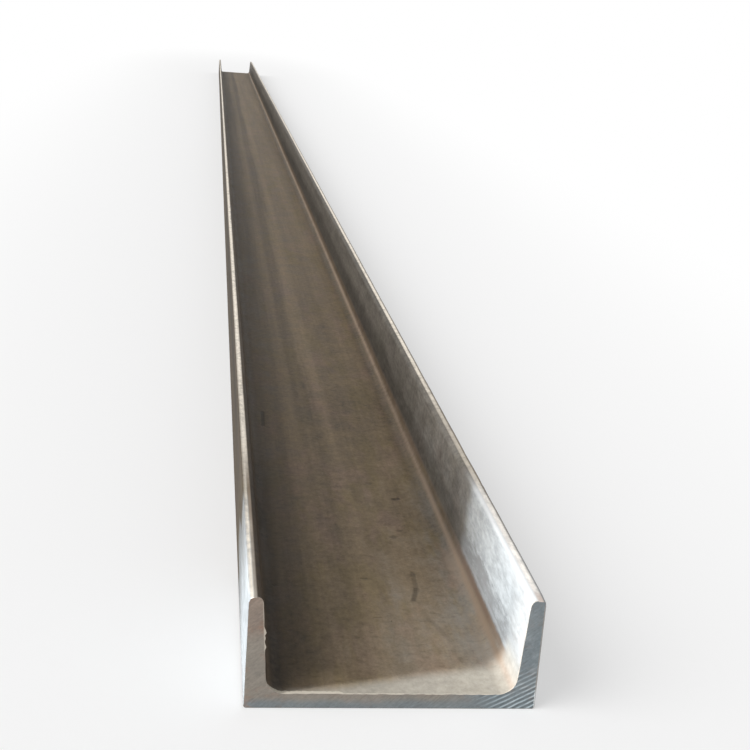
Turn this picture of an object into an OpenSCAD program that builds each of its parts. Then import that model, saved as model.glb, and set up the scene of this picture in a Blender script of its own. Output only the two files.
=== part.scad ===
// Hot-rolled steel channel with tapered flanges, one length of mill stock.
// It lies on its web along Y, with the flanges up. The section is drawn in X and Y and
// stood up by the extrusion. The origin is under the middle of the web, on the floor.

/* [Length] */
// Length of the stock
stock_length = 6000; // [500:10:12000]

/* [Section] */
// Depth of the section, across the outer faces of the flanges
depth = 160; // [140:1:200]
// Height of each flange, from the outer face of the web to the toe
flange_height = 65; // [55:0.5:80]
// Thickness of the web
web_thickness = 8.5; // [6:0.1:12]
// Thickness of the flange halfway between the web's inner face and the toe
flange_thickness = 10; // [9:0.1:13]
// Slope of the flange's inner face, as rise over run
flange_slope = 0.07; // [0.02:0.01:0.12]

/* [Edges] */
// Radius in the root, where the web runs into the flange
root_radius = 10; // [6:0.1:14]
// Radius of the toe's inner edge
toe_radius = 4; // [2:0.1:6]
// Radius of the toe's outer edge, which the rolls leave nearly sharp
toe_edge_radius = 0.8; // [0.3:0.1:1.2]
// Radius of the heel, where the outer faces of web and flange meet
heel_radius = 1.6; // [0.5:0.1:2]

/* [Hidden] */
steel = [0.42, 0.39, 0.35];
arc_sides = 96;
// A round edge stands this far proud of the faces it joins, so that they cross cleanly.
skim = 0.001;
// A shape that cuts a corner off reaches this many radii from the centre of the round.
cutter_reach = 1.5;
// The trough is cut this far past the toes.
overrun = 10;

half_depth = depth / 2;
// The flange is thickest at the web and thinnest at the toe.
taper = flange_slope * (flange_height - web_thickness) / 2;
root_thickness = flange_thickness + taper;
toe_thickness = flange_thickness - taper;

// Corners of the right-hand side of the section, before any edge is rounded.
heel = [half_depth, 0];
toe_outside = [half_depth, flange_height];
toe_inside = [half_depth - toe_thickness, flange_height];
root = [half_depth - root_thickness, web_thickness];

// Directions along the faces that meet at those corners.
inward = [-1, 0];
outward = [1, 0];
up = [0, 1];
down = [0, -1];
up_slope = unit(toe_inside - root);
down_slope = -up_slope;

// The toe's two round edges share its width, so the inner one takes what the outer leaves.
toe_room = (toe_thickness - toe_edge_radius) / setback(1, outward, down_slope);
toe_arc = min(toe_radius, toe_room);

function unit(v) = v / norm(v);

// Angle between the two faces that leave a corner along u and v.
function corner_angle(u, v) = acos(u * v);

// How far from its corner a round edge of radius r begins on each face.
function setback(r, u, v) = r / tan(corner_angle(u, v) / 2);

// Centre of a round edge of radius r, seen from its corner.
function to_centre(r, u, v) = unit(u + v) * r / sin(corner_angle(u, v) / 2);

// What a round edge of radius r leaves of the corner: a kite from the centre of the
// round past both faces, less the round itself. Taking it away rounds the corner.
module corner_waste(corner, u, v, r) {
    centre = to_centre(r, u, v);
    reach = setback(r, u, v);
    kite = [[0, 0], u * reach - centre, -centre, v * reach - centre];
    translate(corner + centre)
        difference() {
            polygon(kite * cutter_reach);
            circle(r = r + skim, $fn = arc_sides);
        }
}

module both_sides() {
    children();
    mirror([1, 0]) children();
}

// The space between the flanges, with round roots and open at the top.
module trough() {
    mouth = toe_inside + up_slope * overrun;
    difference() {
        polygon([root, mouth, [-mouth[0], mouth[1]], [-root[0], root[1]]]);
        both_sides() corner_waste(root, inward, up_slope, root_radius);
    }
}

module section() {
    difference() {
        translate([-half_depth, 0]) square([depth, flange_height]);
        trough();
        both_sides() {
            corner_waste(toe_inside, outward, down_slope, toe_arc);
            corner_waste(toe_outside, inward, down, toe_edge_radius);
            corner_waste(heel, inward, up, heel_radius);
        }
    }
}

// The whole length of stock.
module channel() {
    color(steel)
        rotate([90, 0, 0])
            linear_extrude(height = stock_length, center = true)
                section();
}

channel();
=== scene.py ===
"""One mill length of hot-rolled steel channel, lying on its web with the flanges up.

The CAD gives the length and the section's overall size. This script rolls the same
section as a finer mesh, with the relief that real stock has, and gives it its finish:
mill scale on the rolled faces, bright worn toes, rust in the roots and sawn ends.
Light and shade, as from a low light on the left, are painted into the colours too:
light and highlights by the front end and on the toes, and shade by the left flange,
in the roots and on the outer faces.
"""

import math

import bpy
import numpy as np
from mathutils import Matrix, Vector, noise
from mathutils.geometry import delaunay_2d_cdt


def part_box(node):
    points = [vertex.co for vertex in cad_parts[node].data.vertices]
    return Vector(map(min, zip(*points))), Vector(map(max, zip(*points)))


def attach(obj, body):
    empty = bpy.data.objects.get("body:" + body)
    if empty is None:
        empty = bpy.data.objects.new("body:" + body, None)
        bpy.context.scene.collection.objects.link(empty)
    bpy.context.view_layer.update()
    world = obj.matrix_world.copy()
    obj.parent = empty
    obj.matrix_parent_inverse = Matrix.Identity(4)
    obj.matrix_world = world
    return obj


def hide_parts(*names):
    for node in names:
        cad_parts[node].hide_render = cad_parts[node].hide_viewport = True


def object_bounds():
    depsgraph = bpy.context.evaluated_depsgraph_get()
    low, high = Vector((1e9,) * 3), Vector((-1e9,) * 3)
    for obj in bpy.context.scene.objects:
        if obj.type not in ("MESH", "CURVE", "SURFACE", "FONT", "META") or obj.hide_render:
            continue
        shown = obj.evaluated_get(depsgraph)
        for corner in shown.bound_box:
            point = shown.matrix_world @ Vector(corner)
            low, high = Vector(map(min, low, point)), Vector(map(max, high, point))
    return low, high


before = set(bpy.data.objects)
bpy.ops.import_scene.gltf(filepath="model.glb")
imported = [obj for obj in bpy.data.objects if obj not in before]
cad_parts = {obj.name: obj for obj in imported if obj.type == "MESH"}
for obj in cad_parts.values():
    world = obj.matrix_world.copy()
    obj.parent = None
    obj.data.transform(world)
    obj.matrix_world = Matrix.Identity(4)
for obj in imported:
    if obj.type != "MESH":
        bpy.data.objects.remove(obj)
cad_low, cad_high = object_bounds()
MM = 0.001

# ------------------------------------------------------------------ the section's sizes
LOW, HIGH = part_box("channel")
HALF_DEPTH, FLANGE_HEIGHT = HIGH.x, HIGH.z
FRONT, BACK = LOW.y, HIGH.y
WEB = 8.5 * MM
FLANGE = 10 * MM
SLOPE = 0.07
ROOT_RADIUS = 10 * MM
TOE_RADIUS = 4 * MM
TOE_EDGE_RADIUS = 0.8 * MM
HEEL_RADIUS = 1.6 * MM
TAPER = SLOPE * (FLANGE_HEIGHT - WEB) / 2
ROOT = np.array((HALF_DEPTH - FLANGE - TAPER, WEB))
TOE_INSIDE = np.array((HALF_DEPTH - FLANGE + TAPER, FLANGE_HEIGHT))
SET_BACK = math.hypot(1, SLOPE) - SLOPE  # where a round edge on the slope begins, in radii
ROOT_CENTRE = ROOT + np.array((-SET_BACK, 1)) * ROOT_RADIUS
TOE_CENTRE = TOE_INSIDE + np.array((SET_BACK, -1)) * TOE_RADIUS
LEFT, RIGHT, UP, DOWN = (np.array(d, float) for d in ((-1, 0), (1, 0), (0, 1), (0, -1)))
EDGE = 0.3 * MM  # the small break along a sawn edge
SAW_ANGLE = math.radians(26)  # how steeply the blade's lines rise towards the heel
SAW_PITCH = 2.5 * MM
SAW_BOW = 1.6  # curve of the lines, per metre
SAW_BOW_MIDDLE = 0.05  # where along the lines that curve is level
SAW_LEAN = 0.35  # how much nearer the middle the deep lines begin, for each metre up

# Radii that the outer corners of the front toes are knocked to, on the left and on the right
KNOCKS = ((-1, 3.4 * MM), (1, 2.3 * MM))
# Height, half height and size of each crumb on the front left flange's inner edge
CRUMBS = [(36.5 * MM, 1.3 * MM, 0.8 * MM), (41 * MM, 1 * MM, 0.5 * MM), (45 * MM, 1.5 * MM, 1.1 * MM)]
FRONT_CELL, BACK_CELL = 0.62 * MM, 1.1 * MM  # spacing of the sawn faces' meshes
# Rings of points along the length: close as far as FINE_REACH from the front end, and no wider
# than FINE_CELL there and WIDEST_CELL anywhere
FINE_REACH = 0.95
FINE_CELL, WIDEST_CELL = 6 * MM, 60 * MM
SHARP = math.radians(40)  # edges that turn further than this are drawn sharp


# ------------------------------------------------------------------ outline
def unit(v):
    """The vector at a length of 1."""
    return v / np.linalg.norm(v)


def straight(a, b, cells):
    """Points from a towards b, without b."""
    return a + (b - a) * (np.arange(cells)[:, None] / cells)


def round_edge(corner, u, v, radius, cells):
    """Points on the arc that rounds a corner, from the face along u to the face along v."""
    half = math.acos(float(u @ v)) / 2
    centre = corner + unit(u + v) * radius / math.sin(half)
    start = corner + u * radius / math.tan(half) - centre
    end = corner + v * radius / math.tan(half) - centre
    turn = math.acos(float(start @ end) / radius**2)
    share = np.linspace(0, 1, cells + 1)[:, None]
    return centre + (np.sin((1 - share) * turn) * start + np.sin(share * turn) * end) / math.sin(turn)


def half_outline():
    """The right half in X and Z, from the middle underneath round to the middle inside."""
    up_slope = unit(TOE_INSIDE - ROOT)
    bends = [
        (round_edge(np.array((HALF_DEPTH, 0)), LEFT, UP, HEEL_RADIUS, 4), 18),
        (round_edge(np.array((HALF_DEPTH, FLANGE_HEIGHT)), DOWN, LEFT, TOE_EDGE_RADIUS, 3), 26),
        (round_edge(TOE_INSIDE, RIGHT, -up_slope, TOE_RADIUS, 8), 3),
        (round_edge(ROOT, up_slope, LEFT, ROOT_RADIUS, 12), 26),
    ]
    runs, last = [], np.array((0, 0))
    for arc, cells in bends:
        runs += [straight(last, arc[0], cells), arc[:-1]]
        last = arc[-1]
    return np.vstack([*runs, straight(last, np.array((0, WEB)), 34), [(0, WEB)]])


def whole_outline():
    """The section, anticlockwise as seen from the front, and its outward normals."""
    half = half_outline()
    points = np.vstack([half, (half[1:-1] * (-1, 1))[::-1]])
    along = np.roll(points, -1, 0) - np.roll(points, 1, 0)
    normals = np.column_stack([along[:, 1], -along[:, 0]])
    return points, normals / np.linalg.norm(normals, axis=1)[:, None]


SECTION, NORMALS = whole_outline()
COUNT = len(SECTION)


# ------------------------------------------------------------------ fields
def smooth(value, low, high):
    """0 before low, 1 after high and smooth between, where high may be the lower of the two."""
    t = np.clip((value - low) / (high - low), 0, 1)
    return t * t * (3 - 2 * t)


def field(points, sizes, seed=0):
    """Noise from about -1 to 1 at each point, with features of these sizes in X, Y and Z."""
    scaled = points / np.array(sizes) + seed * 17.3
    return np.array([noise.noise(p) for p in scaled.tolist()])


# ------------------------------------------------------------------ relief
def stations():
    """Places along the length: close at the sawn ends and over the front metre, wide between."""
    near, place, step = [0.0, EDGE, 1.0 * MM], 1.0 * MM, 1.2 * MM
    while place < FINE_REACH:
        place += step
        near.append(place)
        if place > 24 * MM:
            step = min(step * 1.07, FINE_CELL)
    while step < WIDEST_CELL:
        step *= 1.12
        place += step
        near.append(place)
    far, place, step = [0.0, EDGE, 1.0 * MM], 1.0 * MM, 1.5 * MM
    while step < WIDEST_CELL:
        place += step
        far.append(place)
        if place > 14 * MM:
            step *= 1.16
    length = BACK - FRONT
    gap = length - near[-1] - far[-1]
    cells = round(gap / WIDEST_CELL)
    middle = near[-1] + gap * np.arange(1, cells) / cells
    return FRONT + np.concatenate([near, middle, length - np.array(far[::-1])])


def saw_arcs(x, z):
    """Depth of the coarse steps a band saw leaves round one heel, in units of 0 to 1."""
    across = -math.sin(SAW_ANGLE) * x + math.cos(SAW_ANGLE) * z
    along = math.cos(SAW_ANGLE) * x + math.sin(SAW_ANGLE) * z
    bow = across - SAW_BOW * (along - SAW_BOW_MIDDLE) ** 2
    wave = 0.5 + 0.5 * np.sin(2 * math.pi * bow / SAW_PITCH)
    strength = smooth(x + SAW_LEAN * z, 44 * MM, 74 * MM) * smooth(z, 34 * MM, 10 * MM)
    return wave**1.5 * strength


def saw_relief(x, z, side):
    """How deep the sawn face lies behind the end of the length."""
    flat = np.column_stack([x, np.zeros_like(x), z])
    deep = 0.03 * MM * (1 + field(flat, (0.03, 1, 0.03), 3 + side))
    deep += 0.02 * MM * (1 + field(flat, (0.006, 1, 0.004), 5 + side))
    return deep + 0.13 * MM * saw_arcs(x, z)


def rolled_relief(points, toe):
    """How deep a rolled face lies under the true section, in metres."""
    deep = 0.05 * MM * (1 + field(points, (0.03, 0.16, 0.03), 1))
    deep += 0.035 * MM * (1 + field(points, (0.009, 0.02, 0.009), 2))
    nicks = np.maximum(0, field(points, (0.02, 0.012, 0.02), 6) - 0.3)
    dips = np.maximum(0, field(points, (0.02, 0.045, 0.02), 7) + 0.2)
    return deep + toe * MM * (0.55 * nicks + 0.22 * dips)


def edge_break(y, facing_in, on_web, points):
    """How far the faces draw in at a sawn edge. Below zero is the burr the saw pushed up."""
    distance = np.minimum(y - FRONT, BACK - y)
    rim = np.clip(1 - distance / EDGE, 0, 1)
    lip = np.exp(-distance / (0.7 * MM))
    ragged = 0.35 + field(points, (0.0035, 0.5, 0.0035), 8) + 0.5 * field(points, (0.012, 0.5, 0.012), 9)
    burr = (0.1 + 0.45 * np.maximum(0, ragged)) * (0.3 + 0.7 * on_web)
    return EDGE * rim * (1 - facing_in) - facing_in * lip * burr * MM


def knocks(points):
    """Shifts in X and Z: the front toes are knocked round, and the left one's inner edge carries crumbs."""
    x, y, z = points.T
    near = np.exp(-(y - FRONT) / (7 * MM))
    dx, dz = np.zeros_like(x), np.zeros_like(x)
    for side, radius in KNOCKS:
        aside = np.maximum(side * x - HALF_DEPTH + radius, 0) * side
        above = np.maximum(z - FLANGE_HEIGHT + radius, 0)
        reach = np.maximum(np.hypot(aside, above), radius)
        pull = near * (radius / reach - 1) * (side * x > 0)
        dx += aside * pull
        dz += above * pull
    inside = smooth(x, -HALF_DEPTH + 5 * MM, -HALF_DEPTH + 7 * MM) * (x < 0)
    for height, tall, size in CRUMBS:
        bump = np.exp(-(((z - height) / tall) ** 2) - (y - FRONT) / (1.2 * MM))
        dx += size * bump * inside
    return dx, dz


# ------------------------------------------------------------------ the piece
def inside_section(x, z, margin):
    """Whether a point at x >= 0 lies in the steel, at least margin from its outline."""
    if z < margin or z > FLANGE_HEIGHT - margin or x > HALF_DEPTH - margin:
        return False
    if z < WEB - margin:
        return True
    if x > ROOT_CENTRE[0] and z < ROOT_CENTRE[1]:
        return math.hypot(x - ROOT_CENTRE[0], z - ROOT_CENTRE[1]) > ROOT_RADIUS + margin
    if x < ROOT[0] + (z - WEB) * SLOPE + margin:
        return False
    if z > TOE_CENTRE[1] and x < TOE_CENTRE[0]:
        return math.hypot(x - TOE_CENTRE[0], z - TOE_CENTRE[1]) < TOE_RADIUS - margin
    return True


def cap(rim, cell):
    """Fills a rim with triangles on a close grid: the extra points, and triangles by index."""
    grid = []
    for row, z in enumerate(np.arange(0, FLANGE_HEIGHT, cell * 0.87)):
        for x in np.arange(-HALF_DEPTH, HALF_DEPTH, cell) + (row % 2) * cell / 2:
            if inside_section(abs(x), z, 0.9 * cell):
                grid.append(Vector((x, z)))
    edges = [(i, (i + 1) % len(rim)) for i in range(len(rim))]
    points, _, tris, _, _, _ = delaunay_2d_cdt(rim + grid, edges, [], 1, 1e-7)
    # Knocked corners leave a few grid points outside the rim, in no triangle.
    used = sorted({i for tri in tris for i in tri if i >= len(rim)})
    place = {old: len(rim) + new for new, old in enumerate(used)}
    return [points[i] for i in used], [[place.get(i, i) for i in tri] for tri in tris]


def rings():
    """The rolled faces' points, station by station."""
    places = stations()
    y = np.repeat(places, COUNT)
    flat = np.tile(SECTION, (len(places), 1))
    normals = np.tile(NORMALS, (len(places), 1))
    points = np.column_stack([flat[:, 0], y, flat[:, 1]])
    toe = smooth(points[:, 2], FLANGE_HEIGHT - 6 * MM, FLANGE_HEIGHT - 1 * MM)
    facing_in = np.tile(INNER, len(places))
    on_web = smooth(normals[:, 1], 0.3, 0.9)
    draw = rolled_relief(points, toe) + edge_break(y, facing_in, on_web, points)
    dx, dz = knocks(points)
    points[:, 0] += dx - normals[:, 0] * draw
    points[:, 2] += dz - normals[:, 1] * draw
    return points, len(places)


def faces_inside():
    """1 for the outline's points that face the trough, 0 for the outer ones, shared at the toe."""
    x, z = np.abs(SECTION[:, 0]), SECTION[:, 1]
    inner = (NORMALS[:, 1] > 0.5) & (z < FLANGE_HEIGHT / 2)
    inner |= (NORMALS[:, 0] * np.sign(SECTION[:, 0]) < -0.05) & (z > WEB / 2)
    return inner.astype(float)


INNER = faces_inside()


def rolled_faces(rows):
    """The quads between each ring of points and the next."""
    ring = np.arange(COUNT)
    nxt = (ring + 1) % COUNT
    start = (np.arange(rows - 1) * COUNT)[:, None]
    quads = np.stack([start + ring, start + nxt, start + COUNT + nxt, start + COUNT + ring], -1)
    return quads.reshape(-1, 4).tolist()


def capped(points, base, cell):
    """The points with those of a cap added, and its triangles, over the ring that starts at base."""
    rim = [Vector((p[0], p[2])) for p in points[base:base + COUNT]]
    inside, tris = cap(rim, cell)
    extra = np.array([(p.x, points[base, 1], p.y) for p in inside])
    first = len(points) - COUNT
    tris = [[(base if i < COUNT else first) + i for i in tri] for tri in tris]
    return np.vstack([points, extra]), tris


def build_channel():
    """The whole piece as one closed mesh: the rolled faces, and a sawn face at each end."""
    verts, rows = rings()
    rolled = rolled_faces(rows)
    verts, front = capped(verts, 0, FRONT_CELL)
    verts, back = capped(verts, (rows - 1) * COUNT, BACK_CELL)
    sawn = front + [tri[::-1] for tri in back]
    push_ends(verts)
    verts = np.clip(verts, cad_low, cad_high)
    mesh = bpy.data.meshes.new("rolled_channel")
    mesh.from_pydata(verts.tolist(), [], rolled + sawn)
    mesh.polygons.foreach_set("material_index", [0] * len(rolled) + [1] * len(sawn))
    mesh.polygons.foreach_set("use_smooth", [True] * len(mesh.polygons))
    mesh.set_sharp_from_angle(angle=SHARP)
    mark(mesh, verts, rows)
    obj = bpy.data.objects.new("rolled_channel", mesh)
    bpy.context.scene.collection.objects.link(obj)
    return obj


def push_ends(verts):
    """Cuts the saw's relief into both ends, with the nearest rings following it."""
    reach = 1.5 * MM
    for side, end, inward in ((0, FRONT, 1), (1, BACK, -1)):
        near = np.abs(verts[:, 1] - end) < reach
        x, y, z = verts[near].T
        share = 1 - np.abs(y - end) / reach
        verts[near, 1] += inward * share * saw_relief(x, z, side)


def mark(mesh, verts, rows):
    """Stores where the toes, the roots and the trough are, and the line in each root where a highlight is
    painted, for the materials.
    """
    x, z = np.abs(SECTION[:, 0]), SECTION[:, 1]
    toe = smooth(z, FLANGE_HEIGHT - 0.9 * MM, FLANGE_HEIGHT - 0.2 * MM)
    toe *= smooth(x, 74.9 * MM, 76 * MM)
    # The left toe is worn out to its edge, and the right one short of it.
    worn_to = np.where(SECTION[:, 0] < 0, 79.7 * MM, 79.0 * MM)
    toe *= smooth(x, worn_to, worn_to - 1.1 * MM)
    lean = np.degrees(np.arctan2(x - ROOT_CENTRE[0], ROOT_CENTRE[1] - z))
    root = INNER * smooth(x, ROOT_CENTRE[0] - 3 * MM, ROOT_CENTRE[0] + 3 * MM)
    root *= smooth(z, ROOT_CENTRE[1] + 8 * MM, ROOT_CENTRE[1] - 2 * MM)
    root_glint = INNER * (root > 0.5) * np.exp(-(((lean - 52) / 11) ** 2))
    for name, values in (("toe", toe), ("root", root), ("root_glint", root_glint), ("inner", INNER)):
        full = np.zeros(len(verts))
        full[:rows * COUNT] = np.tile(values, rows)
        layer = mesh.attributes.new(name, "FLOAT", "POINT")
        layer.data.foreach_set("value", full)


# ------------------------------------------------------------------ material tools
class Tree:
    """One material's nodes, with short calls for the sums it is made of."""

    def __init__(self, name):
        self.material = bpy.data.materials.new(name)
        self.material.use_nodes = True
        self.nodes = self.material.node_tree.nodes
        self.links = self.material.node_tree.links
        self.shader = self.nodes["Principled BSDF"]
        self.place = self.nodes.new("ShaderNodeTexCoord").outputs["Object"]
        axes = self.nodes.new("ShaderNodeSeparateXYZ")
        self.links.new(self.place, axes.inputs[0])
        self.x, self.y, self.z = axes.outputs

    def give(self, socket, value):
        """Links the socket to another one, or sets it to a number or a colour."""
        if isinstance(value, bpy.types.NodeSocket):
            self.links.new(value, socket)
        else:
            socket.default_value = value

    def set(self, name, value):
        """Gives the shader's socket of this name a value."""
        self.give(self.shader.inputs[name], value)

    def attribute(self, name):
        """What the mesh stores under this name."""
        node = self.nodes.new("ShaderNodeAttribute")
        node.attribute_name = name
        return node.outputs["Fac"]

    def math(self, operation, *values, clamp=False):
        """One sum, of numbers or sockets."""
        node = self.nodes.new("ShaderNodeMath")
        node.operation = operation
        node.use_clamp = clamp
        for socket, value in zip(node.inputs, values):
            self.give(socket, value)
        return node.outputs[0]

    def chain(self, operation, values):
        """The values, taken together one after another."""
        total = values[0]
        for value in values[1:]:
            total = self.math(operation, total, value)
        return total

    def add(self, *values):
        """The sum of the values."""
        return self.chain("ADD", values)

    def times(self, *values):
        """The product of the values."""
        return self.chain("MULTIPLY", values)

    def largest(self, *values):
        """Whichever of the values is largest."""
        return self.chain("MAXIMUM", values)

    def rest(self, share):
        """What the share leaves of 1."""
        return self.math("SUBTRACT", 1, share)

    def swing(self, value, amount):
        """A noise of 0 to 1 as a push up or down, this far from end to end."""
        return self.math("MULTIPLY_ADD", value, amount, -amount / 2)

    def shaken(self, value, **noises):
        """The value, pushed up and down by each of the named noises as far as its number says."""
        swings = [self.swing(getattr(self, name), amount) for name, amount in noises.items()]
        return self.add(value, *swings)

    def step(self, value, low, high):
        """0 before low, 1 after high, smooth between."""
        node = self.nodes.new("ShaderNodeMapRange")
        node.interpolation_type = "SMOOTHSTEP"
        rising = high > low
        self.give(node.inputs["Value"], value)
        node.inputs["From Min"].default_value = low if rising else high
        node.inputs["From Max"].default_value = high if rising else low
        node.inputs["To Min"].default_value = 0 if rising else 1
        node.inputs["To Max"].default_value = 1 if rising else 0
        return node.outputs["Result"]

    def band(self, value, low, high, soft):
        """1 between low and high, 0 a little outside them."""
        return self.times(self.step(value, low - soft, low), self.step(value, high + soft, high))

    def turned(self, angle, scale, seed):
        """The place, turned about Y, scaled and moved along by the seed."""
        node = self.nodes.new("ShaderNodeMapping")
        node.inputs["Rotation"].default_value = (0, angle, 0)
        self.links.new(self.place, node.inputs[0])
        second = self.nodes.new("ShaderNodeMapping")
        self.links.new(node.outputs[0], second.inputs[0])
        second.inputs["Scale"].default_value = scale
        second.inputs["Location"].default_value = (seed, seed * 0.7, -seed)
        return second.outputs[0]

    def noise(self, scale, detail=2.0, roughness=0.5, seed=0.0, angle=0.0):
        """Noise with features of one over the scale, in metres, along X, Y and Z."""
        node = self.nodes.new("ShaderNodeTexNoise")
        self.links.new(self.turned(angle, scale, seed), node.inputs["Vector"])
        node.inputs["Scale"].default_value = 1
        node.inputs["Detail"].default_value = detail
        node.inputs["Roughness"].default_value = roughness
        return node.outputs[0]

    def mix(self, factor, a, b):
        """Between two colours."""
        node = self.nodes.new("ShaderNodeMix")
        node.data_type = "RGBA"
        node.clamp_factor = True
        self.give(node.inputs[0], factor)
        for socket, value in ((node.inputs[6], a), (node.inputs[7], b)):
            self.give(socket, (*value, 1) if isinstance(value, tuple) else value)
        return node.outputs[2]

    def blend(self, factor, a, b):
        """Between two numbers."""
        node = self.nodes.new("ShaderNodeMix")
        self.give(node.inputs[0], factor)
        self.give(node.inputs[2], a)
        self.give(node.inputs[3], b)
        return node.outputs[0]

    def scaled(self, colour, factor):
        """The colour, brighter or darker."""
        node = self.nodes.new("ShaderNodeVectorMath")
        node.operation = "SCALE"
        self.give(node.inputs[0], colour)
        self.give(node.inputs["Scale"], factor)
        return node.outputs[0]

    def bump(self, height, distance):
        """Raises the surface by this distance, in metres, for each 1 of height."""
        node = self.nodes.new("ShaderNodeBump")
        node.inputs["Distance"].default_value = distance
        self.links.new(height, node.inputs["Height"])
        self.set("Normal", node.outputs[0])


# ------------------------------------------------------------------ materials
# Scale
BROWN = (0.166, 0.124, 0.078)
OLIVE = (0.148, 0.112, 0.060)
PINKISH = (0.184, 0.130, 0.094)
BLUE_GREY = (0.148, 0.134, 0.114)
FLANK_GREY = (0.15, 0.144, 0.133)
FLANK_BROWN = (0.108, 0.074, 0.045)
# Rust and dust, with the tan of a painted highlight along the roots and the creams of painted light on the
# web's rim
TAN = (0.26, 0.2, 0.148)
GLINT_TAN = (0.27, 0.203, 0.148)
RED_BROWN = (0.2, 0.138, 0.104)
CREAM = (0.4, 0.375, 0.325)
PINK_CREAM = (0.42, 0.33, 0.27)
FIRST_RUST = (0.27, 0.175, 0.13)
TIP_RED = (0.42, 0.31, 0.26)
# Steel worn pale by handling, made paler with painted light by the front end, with painted shade low down
# inside, and the white of a painted patch of light
PALE = (0.408, 0.443, 0.465)
SLATE = (0.205, 0.22, 0.23)
SHADED_STEEL = (0.24, 0.238, 0.252)
LIGHT_PATCH_WHITE = (0.62, 0.63, 0.63)
# Steel, worn bare on the toes and sawn bare at the ends; the whiter tones also stand in for painted light
# and highlights
BRIGHT = (0.76, 0.69, 0.59)
WHITISH = (0.76, 0.715, 0.665)
BARE = (0.55, 0.5, 0.42)
COOL_STEEL = (0.19, 0.22, 0.235)
WARM_STEEL = (0.255, 0.228, 0.195)
EDGE_WHITE = (0.8, 0.81, 0.8)
EDGE_TAN = (0.36, 0.32, 0.28)

# Marks of handling on the web: both ends, each in X and in Y from the front end, half the width,
# how dark, and for one that is bowed, how far. The first two join into one long mark.
GOUGES = [
    ((0.0346, 0.162), (0.0332, 0.126), 2.4 * MM, 0.5),
    ((0.0336, 0.136), (0.0282, 0.113), 2.4 * MM, 0.75, -0.3 * MM),
    ((0.0325, 0.098), (0.0450, 0.058), 3.0 * MM, 0.25),
    ((0.0375, 0.288), (0.0440, 0.291), 3.5 * MM, 0.85),
    ((0.0275, 0.214), (0.0312, 0.219), 3.5 * MM, 0.6),
    ((0.0345, 0.226), (0.0362, 0.230), 3.0 * MM, 0.5),
    ((0.0270, 0.236), (0.0290, 0.240), 4.0 * MM, 0.35),
    ((0.0220, 0.320), (0.0255, 0.323), 4.0 * MM, 0.45),
    ((-0.0020, 0.147), (0.0035, 0.1475), 1.8 * MM, 0.45),
    ((0.0000, 0.0915), (0.0060, 0.092), 1.5 * MM, 0.4),
    ((-0.0590, 0.134), (-0.0560, 0.136), 3.0 * MM, 0.4),
    ((0.0320, 0.484), (0.0345, 0.487), 4.5 * MM, 0.4),
    ((-0.0085, 0.429), (-0.0040, 0.431), 5.0 * MM, 0.45),
    ((-0.0540, 0.452), (-0.0532, 0.500), 2.6 * MM, 0.85),
]


def scratch(m, start, end, width, depth, bulge=0.0):
    """A mark on the web between two places, each in X and in Y from the front end, bowed by bulge."""
    start, end = (Vector((x, FRONT + y)) for x, y in (start, end))
    run = end - start
    length = run.length
    way = run / length
    x = m.add(m.x, -start.x)
    y = m.add(m.y, -start.y)
    along = m.add(m.times(x, way.x / length), m.times(y, way.y / length))
    across = m.add(m.times(x, way.y), m.times(y, -way.x))
    bow = m.times(m.step(along, 0, 0.5), m.step(along, 1, 0.5), bulge)
    off = m.math("ABSOLUTE", m.math("SUBTRACT", across, bow))
    within = m.times(m.step(along, 0, 0.12), m.step(along, 1, 0.88))
    return m.times(m.step(off, width, width * 0.3), within, depth)


def gouges(m):
    """How dark the marks of handling make the web."""
    darkest = m.largest(*(scratch(m, *row) for row in GOUGES))
    on_web = m.step(m.z, 0.02, 0.012)
    return m.times(darkest, m.inner, on_web)


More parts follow.
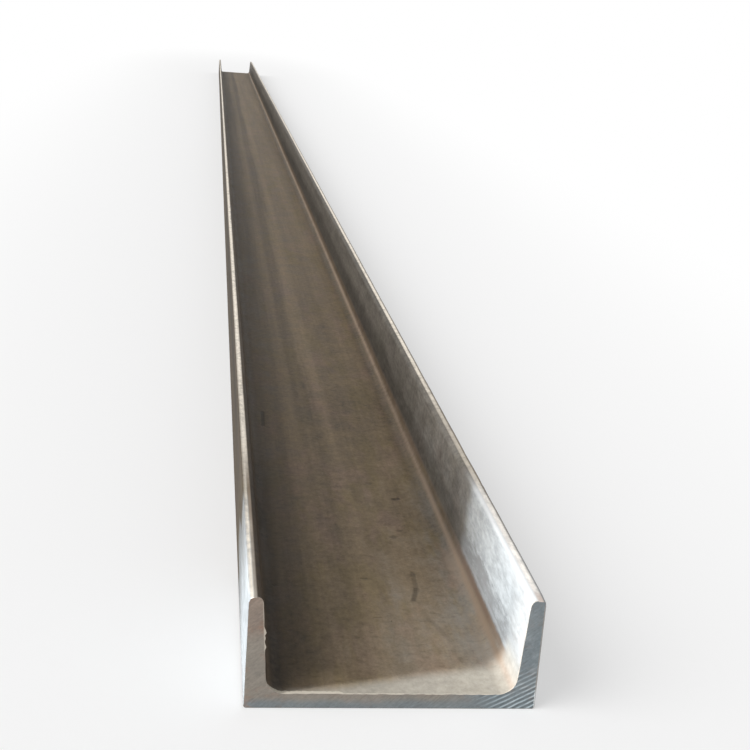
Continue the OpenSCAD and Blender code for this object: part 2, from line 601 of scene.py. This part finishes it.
class MillScale(Tree):
    """The rolled faces: brown, olive and grey scale, rust in the roots, steel worn pale by handling and
    bare on the toes, and painted light and shade.
    """

    def __init__(self):
        super().__init__("mill_scale")
        self.toe = self.attribute("toe")
        self.root = self.attribute("root")
        self.root_glint = self.attribute("root_glint")
        self.inner = self.attribute("inner")
        self.outside = self.rest(self.inner)
        self.add_noises()
        self.add_places()
        dashes = self.noise((105, 190, 105), 3, 0.6, seed=7)
        self.dashes = self.times(self.step(dashes, 0.52, 0.8), self.blend(self.end, 0.2, 0.34))
        spots = self.noise((130, 95, 130), 4, 0.7, seed=13)
        self.spots = self.times(self.step(spots, 0.69, 0.76), 0.5)
        self.gouges = gouges(self)
        self.tone = self.toned()

    def add_noises(self):
        """From the widest to the finest, all drawn out along the length as rolling leaves them."""
        self.clouds = self.noise((8, 1.7, 8), 3, seed=1)
        self.broad = self.noise((34, 0.8, 34), 3, seed=2)
        self.streaks = self.noise((95, 1.6, 95), 4, 0.6, seed=3)
        self.mottle = self.noise((62, 38, 62), 5, 0.62, seed=5)
        self.blotches = self.noise((105, 24, 105), 4, 0.6, seed=16)
        self.flecks = self.noise((240, 170, 240), 3, 0.7, seed=12)
        self.specks = self.noise((310, 76, 310), 4, 0.68, seed=17)
        self.threads = self.noise((420, 7, 420), 2, seed=4)
        self.grain = self.noise((760, 560, 760), 3, 0.65, seed=6)

    def add_places(self):
        """The parts of the length and of the section that several layers share."""
        self.end = self.along(0.26, 0.03)  # a slow rise towards the front end
        self.near = self.along(0.215, 0.145, self.shaken(self.y, mottle=0.04))  # up to a ragged limit
        self.far_half = self.along(0.3, 0.5)
        self.on_right = self.step(self.x, 0, 0.03)
        self.right_half = self.step(self.x, 0, 0.01)
        self.right_flange = self.step(self.x, 0.06, 0.07)
        self.near_right = self.times(self.near, self.on_right)
        self.far_from_left = self.step(self.x, 0, HALF_DEPTH)
        left_flange = self.step(self.x, -0.06, -0.07)
        self.left_crown = self.times(self.step(self.x, -0.0775, -0.0765), left_flange)
        self.left_crown_worn = self.times(self.step(self.x, -0.0778, -0.0766), left_flange)

    def along(self, start, end, place=None):
        """0 at start and 1 at end, in metres from the front end. A shaken place makes it ragged."""
        return self.step(place or self.y, FRONT + start, FRONT + end)

    def stretch(self, start, end, soft):
        """1 between two distances from the front end, 0 a little outside them."""
        return self.band(self.y, FRONT + start, FRONT + end, soft)

    def scaled_at(self, where, colour, factor):
        """The colour times the factor there, and as it was elsewhere."""
        return self.scaled(colour, self.blend(where, 1.0, factor))

    def hue(self):
        """Brown scale, greyer to the right, with olive and reddish patches drawn out along the length."""
        to_right = self.times(self.inner, self.step(self.x, 0.03, 0.066), 0.3)
        patches = self.shaken(0, clouds=1.2, broad=1.0, mottle=1.1)
        patches = self.times(patches, self.blend(self.end, 1.0, 0.65))
        by_end = self.times(self.end, self.step(self.x, -0.045, 0.05), 0.3)
        far = self.times(self.along(0.15, 0.65), -0.6)
        greyness = self.add(0.32, patches, to_right, by_end, far)
        colour = self.mix(self.step(greyness, 0.2, 0.95), BROWN, BLUE_GREY)
        olive = self.step(self.noise((48, 11, 48), 5, 0.62, seed=21), 0.46, 0.64)
        colour = self.mix(self.times(olive, 0.7), colour, OLIVE)
        reddish = self.step(self.noise((40, 14, 40), 5, 0.62, seed=22), 0.5, 0.68)
        return self.mix(self.times(reddish, self.blend(self.end, 0.75, 0.4)), colour, PINKISH)

    def toned(self):
        """Light and dark in the scale, from the rolls' long streaks down to its grain and marks, with
        painted light by the front end.
        """
        across = self.shaken(self.x, broad=0.012, streaks=0.006)
        pale_left = self.band(across, -0.034, -0.028, 0.007)
        pale_middle = self.band(across, -0.003, 0.003, 0.006)
        dark = self.band(across, -0.019, -0.013, 0.006)
        rolled = self.add(self.times(self.largest(pale_left, pale_middle), 0.1), self.times(dark, -0.13))
        rolled = self.times(rolled, self.inner, self.blend(self.far_half, 1.0, 1.7))
        by_left_rim = self.times(self.along(0.034, 0.008), self.band(self.x, -0.05, -0.03, 0.015))
        to_right = self.step(self.x, -0.05, 0.055)
        patch = self.times(self.stretch(0.37, 0.52, 0.09), self.band(self.x, 0.004, 0.03, 0.015))
        coarse = self.shaken(0.96, clouds=0.4, broad=0.5, streaks=0.5, mottle=1.15)
        tone = self.add(
            self.shaken(coarse, flecks=0.95, threads=0.25, grain=0.75),
            rolled,
            self.times(by_left_rim, 0.4),
            # Painted light by the front end, strongest to the right.
            self.times(self.end, self.blend(to_right, -0.04, 0.75)),
            self.times(self.along(0.35, 0.55), -0.1),
            self.times(patch, -0.13),
        )
        tone = self.times(tone, self.rest(self.largest(self.dashes, self.spots)))
        return self.times(tone, self.rest(self.times(self.gouges, 0.62)))

    def shaded(self, colour):
        """Painted shade: the web is darkest by the left flange, which shades it, and darker in both roots
        and on the outer faces, with painted light up the right root by the front end.
        """
        to_left = self.step(self.shaken(self.x, streaks=0.02), -0.012, -0.066)
        left_shade = self.times(self.inner, to_left)
        # Painted shade of the left flange on the web beside it.
        colour = self.scaled_at(left_shade, colour, self.blend(self.far_half, 0.52, 0.66))
        by_left = self.times(self.inner, self.step(self.x, -0.05, -0.062), self.along(0.42, 0.3))
        # More painted shade close to the left flange.
        colour = self.scaled_at(by_left, colour, 0.6)
        by_end = self.along(0.085, 0.045, self.shaken(self.y, mottle=0.02))
        high_up = self.blend(self.step(self.z, 0.0105, 0.016), 1.1, 1.75)
        elsewhere = self.blend(self.near_right, 0.6, 0.9)
        # Painted shade in both roots, and painted light up the right root by the front end.
        in_root = self.blend(self.times(by_end, self.on_right), elsewhere, high_up)
        colour = self.scaled_at(self.times(self.root, self.inner), colour, in_root)
        # Painted shade on the outer faces, deepest on the left.
        outer = self.blend(self.far_from_left, 0.5, 0.72)
        return self.scaled(colour, self.blend(self.inner, outer, 1.0))

    def flanks(self, colour):
        """The flanges' inner faces: greyer towards the toe, with painted shade that leaves them dark over
        the root and lighter towards the toe, and more painted light and shade along them.
        """
        flank = self.times(self.inner, self.step(self.z, 0.016, 0.022))
        upper = self.step(self.shaken(self.z, streaks=0.012), 0.03, 0.052)
        # Painted light that grows towards the front end.
        glow = self.blend(self.along(0.48, 0.28), 0.82, 1.12)
        to_right = self.step(self.x, -0.02, 0.02)
        grey = self.mix(to_right, FLANK_BROWN, FLANK_GREY)
        share = self.times(flank, self.blend(to_right, 0.86, 0.7))
        colour = self.mix(share, colour, self.scaled(grey, self.tone))
        # Painted shade on the left flange's inner face.
        dark_left = self.times(flank, self.step(self.x, 0.02, -0.02), self.stretch(0.15, 0.36, 0.11))
        colour = self.scaled_at(dark_left, colour, 0.55)
        # Painted shade low on the flanks, lighter towards the toe.
        colour = self.scaled_at(flank, colour, self.times(self.blend(upper, 0.64, 1.2), glow))
        speckled = self.shaken(1, specks=0.8, blotches=0.4)
        colour = self.scaled(colour, self.blend(flank, 1.0, speckled))
        # Painted shade just past the lit front end of the right flange.
        past_lit_end = self.times(flank, self.step(self.x, 0, 0.02), self.stretch(0.185, 0.215, 0.03))
        colour = self.scaled_at(past_lit_end, colour, 0.68)
        # Painted shade on the left toe's inner crown.
        left_crown = self.times(self.inner, self.left_crown, self.step(self.z, 0.05, 0.06))
        return self.outer_faces(self.scaled_at(left_crown, colour, 0.62))

    def outer_faces(self, colour):
        """The outer faces: lighter on the left with painted light where the pale front end stops, and a
        dark band further on.
        """
        past_lit_end = self.times(self.step(self.x, 0, -0.02), self.stretch(0.18, 0.225, 0.03))
        # Painted light on the left outer face where the pale front end stops.
        colour = self.scaled_at(self.times(self.outside, past_lit_end), colour, 1.25)
        dark_band = self.times(self.along(0.28, 0.42), self.band(self.z, 0.039, 0.052, 0.006))
        return self.scaled_at(self.times(self.outside, dark_band), colour, 0.6)

    def rusted(self, colour):
        """Rust and dust lie in the roots, the dust heavier by the front end on the right where it also
        stands in for light, with a painted highlight in rust tan along the middle of the round.
        """
        dust = self.noise((90, 14, 90), 4, 0.6, seed=9)
        dusty = self.step(self.shaken(dust, flecks=0.5), 0.3, 0.62)
        # Dust, laid on more by the front end on the right, where it also stands in for light.
        colour = self.mix(self.times(self.root, dusty, self.blend(self.near_right, 0.1, 0.6)), colour, TAN)
        height = self.shaken(self.z, flecks=0.003, blotches=0.005)
        line = self.times(self.inner, self.on_right, self.band(height, 0.0145, 0.0193, 0.002))
        fading = self.blend(self.along(0.1, 0.04), 0.62, 0.36)
        line = self.times(line, self.blend(self.near, 0.15, fading))
        colour = self.mix(line, colour, RED_BROWN)
        broken = self.step(self.shaken(self.streaks, flecks=0.8, blotches=0.8), 0.15, 0.6)
        strong = self.times(self.blend(self.near_right, 0.8, 0.92), self.blend(self.on_right, 0.38, 1.0))
        strong = self.times(strong, self.blend(broken, 0.5, 1.0))
        lit = self.add(self.blend(self.near, 0.88, 1.06), self.times(self.along(0.48, 0.68), 0.3))
        # Painted highlight in rust tan along the middle of the round, brighter by the front end and far
        # off.
        return self.mix(self.times(self.root_glint, strong), colour, self.scaled(GLINT_TAN, lit))

    def rubbed_and_lit(self, colour):
        """The last hand's breadth of the flanges is worn to pale steel by handling and made paler with
        painted light, and greyer low down inside with painted shade.
        """
        speckle = self.shaken(self.blotches, specks=1.1, grain=0.4)
        patchy = self.step(speckle, 0.22, 0.74)
        shift = self.blend(self.band(self.z, 0.018, 0.034, 0.008), 0.026, -0.01)
        place = self.add(self.y, self.blend(self.inner, shift, 0.0))
        place = self.shaken(place, blotches=0.03, specks=0.014)
        amount = self.times(self.along(0.183, 0.16, place), 0.5)
        amount = self.add(amount, self.times(self.along(0.165, 0.05, place), 0.4))
        outer_right = self.times(self.outside, self.far_from_left)
        amount = self.blend(outer_right, amount, self.times(self.along(0.22, 0.02, place), 0.8))
        height = self.shaken(self.z, flecks=0.004, blotches=0.004)
        foot_inside = self.times(self.step(height, 0.0168, 0.0205), self.step(self.x, 0.0, 0.02))
        foot = self.blend(self.inner, self.step(self.z, 0.001, 0.003), foot_inside)
        # Worn pale by handling, and made paler with painted light by the front end.
        colour = self.mix(self.times(amount, foot), colour, self.rubbed_and_lit_steel(speckle, patchy))
        return self.crowned(self.painted_light_patch(colour, patchy))

    def rubbed_and_lit_steel(self, speckle, patchy):
        """Pale steel with slate specks, most of them low down inside where shade is painted, lighter again
        at the very bottom with painted light, over a pale ledge by the root.
        """
        bare = self.rest(patchy)
        by_end = self.along(0.062, 0.018, self.shaken(self.y, specks=0.02))
        height = self.shaken(self.z, blotches=0.008, specks=0.008)
        # Painted shade low down inside, where the left flange shades the right one.
        low_down = self.times(self.inner, self.step(height, 0.0385, 0.033), self.blend(by_end, 1.0, 0.5))
        share = self.add(self.times(low_down, self.blend(bare, 0.76, 1.0)), self.times(bare, 0.42))
        steel = self.mix(share, PALE, SLATE)
        steel = self.mix(self.times(low_down, self.step(speckle, 0.5, 0.3), 0.6), steel, SHADED_STEEL)
        # Painted light that lifts the lowest part again.
        steel = self.scaled_at(self.times(low_down, self.step(self.z, 0.03, 0.018)), steel, 1.35)
        steel = self.scaled(steel, self.shaken(1, specks=0.65, blotches=0.2))
        ledge = self.times(self.inner, self.band(self.shaken(self.z, flecks=0.002), 0.0205, 0.022, 0.001))
        return self.mix(self.times(ledge, 0.5), steel, PALE)

    def painted_light_patch(self, colour, patchy):
        """Painted light: the right flange's inner face is whitest by its end, and for longer near its toe.
        """
        right = self.times(self.inner, self.right_flange, self.step(self.z, 0.018, 0.03))
        place = self.shaken(self.y, blotches=0.05, specks=0.03)
        by_end = self.times(self.along(0.045, 0.004, place), self.blend(patchy, 0.32, 0.62))
        by_toe = self.times(self.step(self.z, 0.05, 0.063), self.along(0.1, 0.03, place), 0.35)
        # Painted light: the patch where the low light from the left falls on the right flange.
        return self.mix(self.times(self.largest(by_end, by_toe), right), colour, LIGHT_PATCH_WHITE)

    def crowned(self, colour):
        """By the end the right toe is white with painted light, its outer edge darker with painted shade,
        and the left one tan inside and darker with painted shade.
        """
        crown = self.times(self.near, self.right_flange, self.step(self.x, 0.0785, 0.077))
        # Painted light on the right toe's crown.
        colour = self.mix(self.times(crown, self.step(self.z, 0.0625, 0.0645), 0.6), colour, LIGHT_PATCH_WHITE)
        outer = self.times(self.near, self.step(self.x, 0.0778, 0.0788), self.step(self.z, 0.06, 0.0645))
        # Painted shade on the right toe's outer edge.
        colour = self.scaled_at(outer, colour, 0.7)
        left = self.times(self.near, self.left_crown, self.step(self.z, 0.055, 0.06))
        on_top = self.times(left, self.step(self.x, -0.0746, -0.0756), 0.75)
        tan = self.scaled(TAN, self.blend(self.along(0.04, 0.15), 0.6, 1.1))
        # Painted shade on the left toe's inner crown, and tan on its top.
        return self.mix(on_top, self.scaled_at(left, colour, 0.6), tan)

    def rimmed(self, colour):
        """The web's rim: painted light in a wedge that widens to the right, where light passes the left
        flange's end, with the saw's burr along it.
        """
        wedge_end = self.math("MULTIPLY_ADD", self.x, 0.245, 0.0148 + FRONT)
        past_wedge = self.shaken(self.math("SUBTRACT", self.y, wedge_end), mottle=0.01)
        low_inside = self.times(self.inner, self.step(self.z, 0.03, 0.018))
        # Painted light where the low light passes the left flange's end onto the web.
        wedge = self.times(self.step(past_wedge, 0.007, -0.006), low_inside, 0.85)
        colour = self.mix(wedge, colour, self.lit_wedge_cream())
        reach = self.blend(self.band(self.x, -0.064, -0.03, 0.006), 0.0011, 0.0034)
        past_burr = self.math("SUBTRACT", self.add(self.shaken(self.y, flecks=0.004), -FRONT), reach)
        burr = self.times(self.step(past_burr, 0.0004, -0.0004), self.inner)
        on_left_flange = self.times(self.step(self.x, -0.066, -0.069), self.step(self.z, 0.018, 0.024))
        crumbs = self.step(self.noise((60, 1, 240), 2, seed=15), 0.5, 0.62)
        return self.mix(self.times(burr, self.blend(on_left_flange, 0.8, crumbs)), colour, BARE)

    def lit_wedge_cream(self):
        """The colour of the painted light in the wedge, lighter to the right, whiter up the flank and pink
        on the root's painted highlight.
        """
        cream = self.scaled(CREAM, self.blend(self.step(self.x, -0.03, 0.06), 0.8, 1.1))
        # The painted light is dimmer in the root.
        cream = self.scaled_at(self.root, cream, 0.86)
        # Painted light, whiter up the flank.
        cream = self.mix(self.times(self.step(self.z, 0.011, 0.016), 0.2), cream, LIGHT_PATCH_WHITE)
        cream = self.mix(self.times(self.root_glint, 0.6), cream, PINK_CREAM)
        return self.scaled(cream, self.shaken(1, mottle=0.6, flecks=0.7))

    def worn(self):
        """How far the toes are worn to bare steel: patchily, less on a stretch of each, and less on the
        left toe's inner edge by the end, as painted shade.
        """
        rubbing = self.step(self.shaken(self.threads, mottle=1.1, flecks=1.3), 0.05, 0.6)
        # Painted shade on the left toe's inner edge by the end.
        shaded = self.times(self.near, self.left_crown_worn, 0.8)
        dull_right = self.times(self.stretch(0.19, 0.33, 0.04), self.right_half, 0.3)
        dull_left = self.times(self.stretch(0.14, 0.2, 0.05), self.step(self.x, 0.01, 0), 0.3)
        kept = self.math("SUBTRACT", self.rest(shaded), self.add(dull_right, dull_left))
        return self.times(self.toe, self.blend(rubbing, 0.62, 1.0), kept)

    def toe_steel(self):
        """The worn toes' colour: whiter at the right end with painted light, brighter just behind the right
        tip with a painted highlight, with a reddish tip, and brighter far off with a painted sheen.
        """
        # Painted light: whiter at the right end.
        steel = self.mix(self.times(self.near, self.right_half), BRIGHT, WHITISH)
        # Painted sheen: brighter far off.
        steel = self.scaled(steel, self.blend(self.along(0.3, 0.55), 1.0, 1.15))
        # Painted highlight just behind the right tip.
        behind_tip = self.times(self.step(self.x, 0.0782, 0.0768), self.stretch(0.035, 0.065, 0.02))
        behind_tip = self.times(self.right_half, behind_tip, 0.22)
        steel = self.scaled(steel, self.add(self.shaken(1.03, specks=0.7, flecks=0.5), behind_tip))
        tip = self.times(self.right_half, self.along(0.015, 0.004, self.shaken(self.y, flecks=0.012)))
        return self.mix(self.times(tip, 0.6), steel, TIP_RED)


def mill_scale():
    """Hot-rolled scale with its streaks, marks and rust, worn bare by the front end and on the toes, with
    painted light by the front end and painted shade by the left flange and in the roots.
    """
    m = MillScale()
    colour = m.scaled(m.hue(), m.tone)
    for layer in (m.shaded, m.flanks, m.rusted, m.rubbed_and_lit, m.rimmed):
        colour = layer(colour)
    worn = m.worn()
    m.set("Base Color", m.mix(m.times(worn, 0.95), colour, m.toe_steel()))
    m.set("Metallic", m.blend(worn, 0.02, 0.6))
    rough = m.add(m.shaken(0.55, mottle=0.3, grain=0.2), m.times(worn, -0.12))
    m.set("Roughness", m.math("ADD", rough, 0, clamp=True))
    m.shader.inputs["Specular IOR Level"].default_value = 0.08
    height = m.add(m.times(m.grain, 0.4), m.times(m.flecks, 0.5), m.times(m.mottle, 0.6))
    height = m.add(height, m.times(m.dashes, -0.4), m.times(m.spots, -0.8), m.times(m.gouges, -2))
    m.bump(height, 0.15 * MM)
    return m.material


class SawnSteel(Tree):
    """The sawn ends: grey steel with the blade's lines and a first bloom of rust, and painted highlights on
    the crests and outer edges.
    """

    def __init__(self):
        super().__init__("sawn_steel")
        self.lines = self.noise((1400, 1, 60), 3, 0.6, seed=1, angle=math.radians(-45))
        self.fine = self.noise((300, 1, 1100), 2, seed=2, angle=SAW_ANGLE)
        self.cloud = self.noise((45, 1, 45), 4, 0.6, seed=3)
        self.grain = self.noise((900, 1, 900), 2, seed=5)

    def hue(self):
        """Warm along the web and up the left flange, cool by the heels, rusty at the left toe."""
        left = self.step(self.x, -0.03, -0.078)
        left_heel = self.times(left, self.step(self.z, 0.02, 0.008))
        left_warmth = self.math("SUBTRACT", self.times(left, 0.75), self.times(left_heel, 0.6))
        above_floor = self.step(self.shaken(self.z, cloud=0.004), 0.002, 0.0075)
        middle = self.times(self.step(self.x, 0.06, 0.02), self.blend(above_floor, 0.15, 1.0))
        warmth = self.shaken(self.largest(left_warmth, middle), cloud=0.5)
        base = self.mix(warmth, COOL_STEEL, WARM_STEEL)
        bloom = self.step(self.noise((70, 1, 110), 4, 0.65, seed=4), 0.5, 0.7)
        left_top = self.times(self.step(self.x, -0.06, -0.07), self.step(self.z, 0.036, 0.05))
        rust = self.add(self.times(bloom, self.blend(left, 0.2, 0.6)), self.times(left_top, 0.35))
        base = self.mix(rust, base, FIRST_RUST)
        spots = self.step(self.noise((170, 1, 150), 4, 0.65, seed=14), 0.48, 0.72)
        spotted = self.times(spots, self.step(self.x, 0.06, 0.068))
        return self.mix(self.times(spotted, 0.25), base, PALE)

    def stripes(self):
        """The arcs that saw_arcs cuts: crests 1 and valleys 0, and how strong they are."""
        across = self.add(self.times(self.x, -math.sin(SAW_ANGLE)), self.times(self.z, math.cos(SAW_ANGLE)))
        along = self.add(self.times(self.x, math.cos(SAW_ANGLE)), self.times(self.z, math.sin(SAW_ANGLE)))
        along = self.add(along, -SAW_BOW_MIDDLE)
        bow = self.add(across, self.times(along, along, -SAW_BOW))
        ragged = self.noise((160, 1, 160), 3, seed=11)
        phase = self.add(self.times(bow, 2 * math.pi / SAW_PITCH), self.swing(ragged, 2.2))
        wave = self.math("MULTIPLY_ADD", self.math("SINE", phase), -0.5, 0.5)
        by_heel = self.step(self.add(self.x, self.times(self.z, SAW_LEAN)), 0.042, 0.072)
        patchy = self.step(self.noise((90, 1, 90), 2, seed=12), 0.25, 0.6)
        return wave, self.times(by_heel, self.step(self.z, 0.029, 0.01), patchy)

    def tone(self):
        """Light and dark: fine and coarse lines, clouds and grain, with bright streaks on the crests, fresh
        metal and painted highlight together, and hollows darker, oxide and painted shade together.
        """
        wave, strength = self.stripes()
        # Bright crests are fresh metal and painted highlight; darker hollows are oxide and painted shade.
        streak = self.times(strength, self.step(wave, 0.6, 0.95))
        hollow = self.times(strength, self.step(wave, 0.5, 0.1))
        tone = self.shaken(1.02, lines=0.5, fine=0.4, cloud=0.45, grain=0.3)
        return self.add(tone, self.times(streak, 1.35), self.times(hollow, -0.25))

    def edged(self, base):
        """Bright crumbs past the left flange's inner face, and outer edges bright or tan, burr and painted
        highlight together.
        """
        past_face = self.add(self.x, self.times(self.z, SLOPE), ROOT[0] - SLOPE * WEB)
        in_reach = self.times(self.step(self.x, -0.06, -0.065), self.step(self.z, 0.032, 0.035))
        crumb = self.times(self.step(past_face, -0.7 * MM, 0.1 * MM), in_reach)
        base = self.mix(self.times(crumb, 0.75), base, BARE)
        place = self.shaken(self.x, fine=0.8 * MM)
        outermost = self.step(place, HALF_DEPTH - 1.1 * MM, HALF_DEPTH - 0.5 * MM)
        # Burr and painted highlight along the outer edges.
        edge = self.mix(self.step(self.z, 0.009, 0.013), EDGE_WHITE, EDGE_TAN)
        return self.mix(self.times(outermost, 0.8), base, edge)


def sawn_steel():
    """Bare steel where the length was sawn off."""
    m = SawnSteel()
    m.set("Base Color", m.edged(m.scaled(m.hue(), m.tone())))
    m.shader.inputs["Metallic"].default_value = 0.7
    m.set("Roughness", m.shaken(0.42, cloud=0.2, lines=0.2))
    m.bump(m.add(m.times(m.lines, 0.5), m.times(m.fine, 0.5), m.times(m.grain, 0.3)), 0.08 * MM)
    return m.material


piece = build_channel()
piece.data.materials.append(mill_scale())
piece.data.materials.append(sawn_steel())
print("triangles", sum(len(p.vertices) - 2 for p in piece.data.polygons))
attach(piece, "root")
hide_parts("channel")


# ------------------------------------------------------------------ floor and light
HALF_FLOOR = 150
FADE_REACH = 0.7  # how far from the channel the floor has turned white
SKY = 0.45  # how strong the sky is as light
FILL_WAY = Vector((-0.72, -0.262, 0.643))
FILL_ENERGY = 0.66 * math.pi
KEY_TARGET = Vector((0, FRONT - 0.03, 0.04))
KEY_WAY = Vector((-0.945, -0.236, 0.285)).normalized()
KEY_AWAY = 2.2
KEY_LEVEL = 1.4
KEY_ENERGY = 4 * (math.pi * KEY_AWAY) ** 2 * KEY_LEVEL


def flat_square(name, half):
    """A level square that reaches this far from its middle to each side."""
    corners = [(-half, -half, 0), (half, -half, 0), (half, half, 0), (-half, half, 0)]
    mesh = bpy.data.meshes.new(name)
    mesh.from_pydata(corners, [], [(0, 1, 2, 3)])
    obj = bpy.data.objects.new(name, mesh)
    bpy.context.scene.collection.objects.link(obj)
    return obj


def away_from_channel(m):
    """How far a place on the floor is from the channel, where distance beyond the back counts less."""
    beside = m.largest(m.math("SUBTRACT", m.math("ABSOLUTE", m.x), HALF_DEPTH), 0)
    before = m.largest(m.math("SUBTRACT", FRONT, m.y), 0)
    behind = m.times(m.largest(m.math("SUBTRACT", m.y, BACK), 0), 0.2)
    return m.math("SQRT", m.add(*(m.times(part, part) for part in (beside, before, behind))))


def floor():
    """A pale floor that turns white away from the channel, to the camera alone."""
    obj = flat_square("floor", HALF_FLOOR)
    m = Tree("pale_floor")
    m.set("Base Color", (0.93, 0.93, 0.93, 1))
    m.set("Roughness", 0.9)
    m.shader.inputs["Specular IOR Level"].default_value = 0.2
    white = m.nodes.new("ShaderNodeEmission")
    fade = m.nodes.new("ShaderNodeMixShader")
    m.give(fade.inputs[0], m.blend(m.step(away_from_channel(m), 0.0, FADE_REACH), 0.45, 1.0))
    m.links.new(m.shader.outputs[0], fade.inputs[1])
    m.links.new(white.outputs[0], fade.inputs[2])
    # Only the camera sees the fade; the object is lit by the plain floor.
    seen = m.nodes.new("ShaderNodeMixShader")
    path = m.nodes.new("ShaderNodeLightPath")
    m.links.new(path.outputs["Is Camera Ray"], seen.inputs[0])
    m.links.new(m.shader.outputs[0], seen.inputs[1])
    m.links.new(fade.outputs[0], seen.inputs[2])
    m.links.new(seen.outputs[0], m.nodes["Material Output"].inputs["Surface"])
    obj.data.materials.append(m.material)


def sky():
    """White where the camera, a reflection or clear matter shows it, softer as light."""
    world = bpy.data.worlds.new("sky")
    bpy.context.scene.world = world
    world.use_nodes = True
    nodes, links = world.node_tree.nodes, world.node_tree.links
    path = nodes.new("ShaderNodeLightPath")
    strength = nodes.new("ShaderNodeMapRange")
    strength.inputs["To Min"].default_value = SKY
    seen = path.outputs["Is Camera Ray"]
    for kind in ("Is Glossy Ray", "Is Transmission Ray"):
        either = nodes.new("ShaderNodeMath")
        either.operation = "MAXIMUM"
        links.new(seen, either.inputs[0])
        links.new(path.outputs[kind], either.inputs[1])
        seen = either.outputs[0]
    links.new(seen, strength.inputs["Value"])
    nodes["Background"].inputs["Color"].default_value = (1, 1, 1, 1)
    links.new(strength.outputs["Result"], nodes["Background"].inputs["Strength"])


def lamp(name, kind, place, target, energy):
    """A light at the place that shines towards the target."""
    light = bpy.data.lights.new(name, kind)
    light.energy = energy
    obj = bpy.data.objects.new(name, light)
    bpy.context.scene.collection.objects.link(obj)
    obj.location = place
    obj.rotation_mode = "QUATERNION"
    obj.rotation_quaternion = (target - place).to_track_quat("-Z", "Y")
    return light, obj


floor()
sky()
fill, _ = lamp("fill", "SUN", FILL_WAY, Vector((0, 0, 0)), FILL_ENERGY)
fill.angle = math.radians(50)
key, key_object = lamp("key", "SPOT", KEY_TARGET + KEY_WAY * KEY_AWAY, KEY_TARGET, KEY_ENERGY)
key.shadow_soft_size = 0.085
key.spot_size = math.radians(10.0)
key.spot_blend = 0.35
# The key is for the steel alone, so that it leaves no pool of light on the floor.
lit = bpy.data.collections.new("lit_by_key")
lit.objects.link(piece)
key_object.light_linking.receiver_collection = lit

# ------------------------------------------------------------------ camera
EYE = Vector((-0.1086, FRONT - 0.6214, 0.3644))
LOOK = Vector((0.1323, 0.9535, -0.271)).normalized()
ROLL = math.radians(-4.325)
cam = bpy.data.cameras.new("camera")
view = bpy.data.objects.new("camera", cam)
bpy.context.scene.collection.objects.link(view)
bpy.context.scene.camera = view
cam.sensor_width = 36
cam.lens = 62.4
cam.clip_start, cam.clip_end = 0.05, 400
level = LOOK.cross(Vector((0, 0, 1))).normalized()
right = (Matrix.Rotation(ROLL, 3, LOOK) @ level).normalized()
up = right.cross(LOOK)
turn = Matrix((right, up, -LOOK)).transposed()
view.matrix_world = Matrix.Translation(EYE) @ turn.to_4x4()

bpy.context.scene.view_settings.view_transform = "Standard"
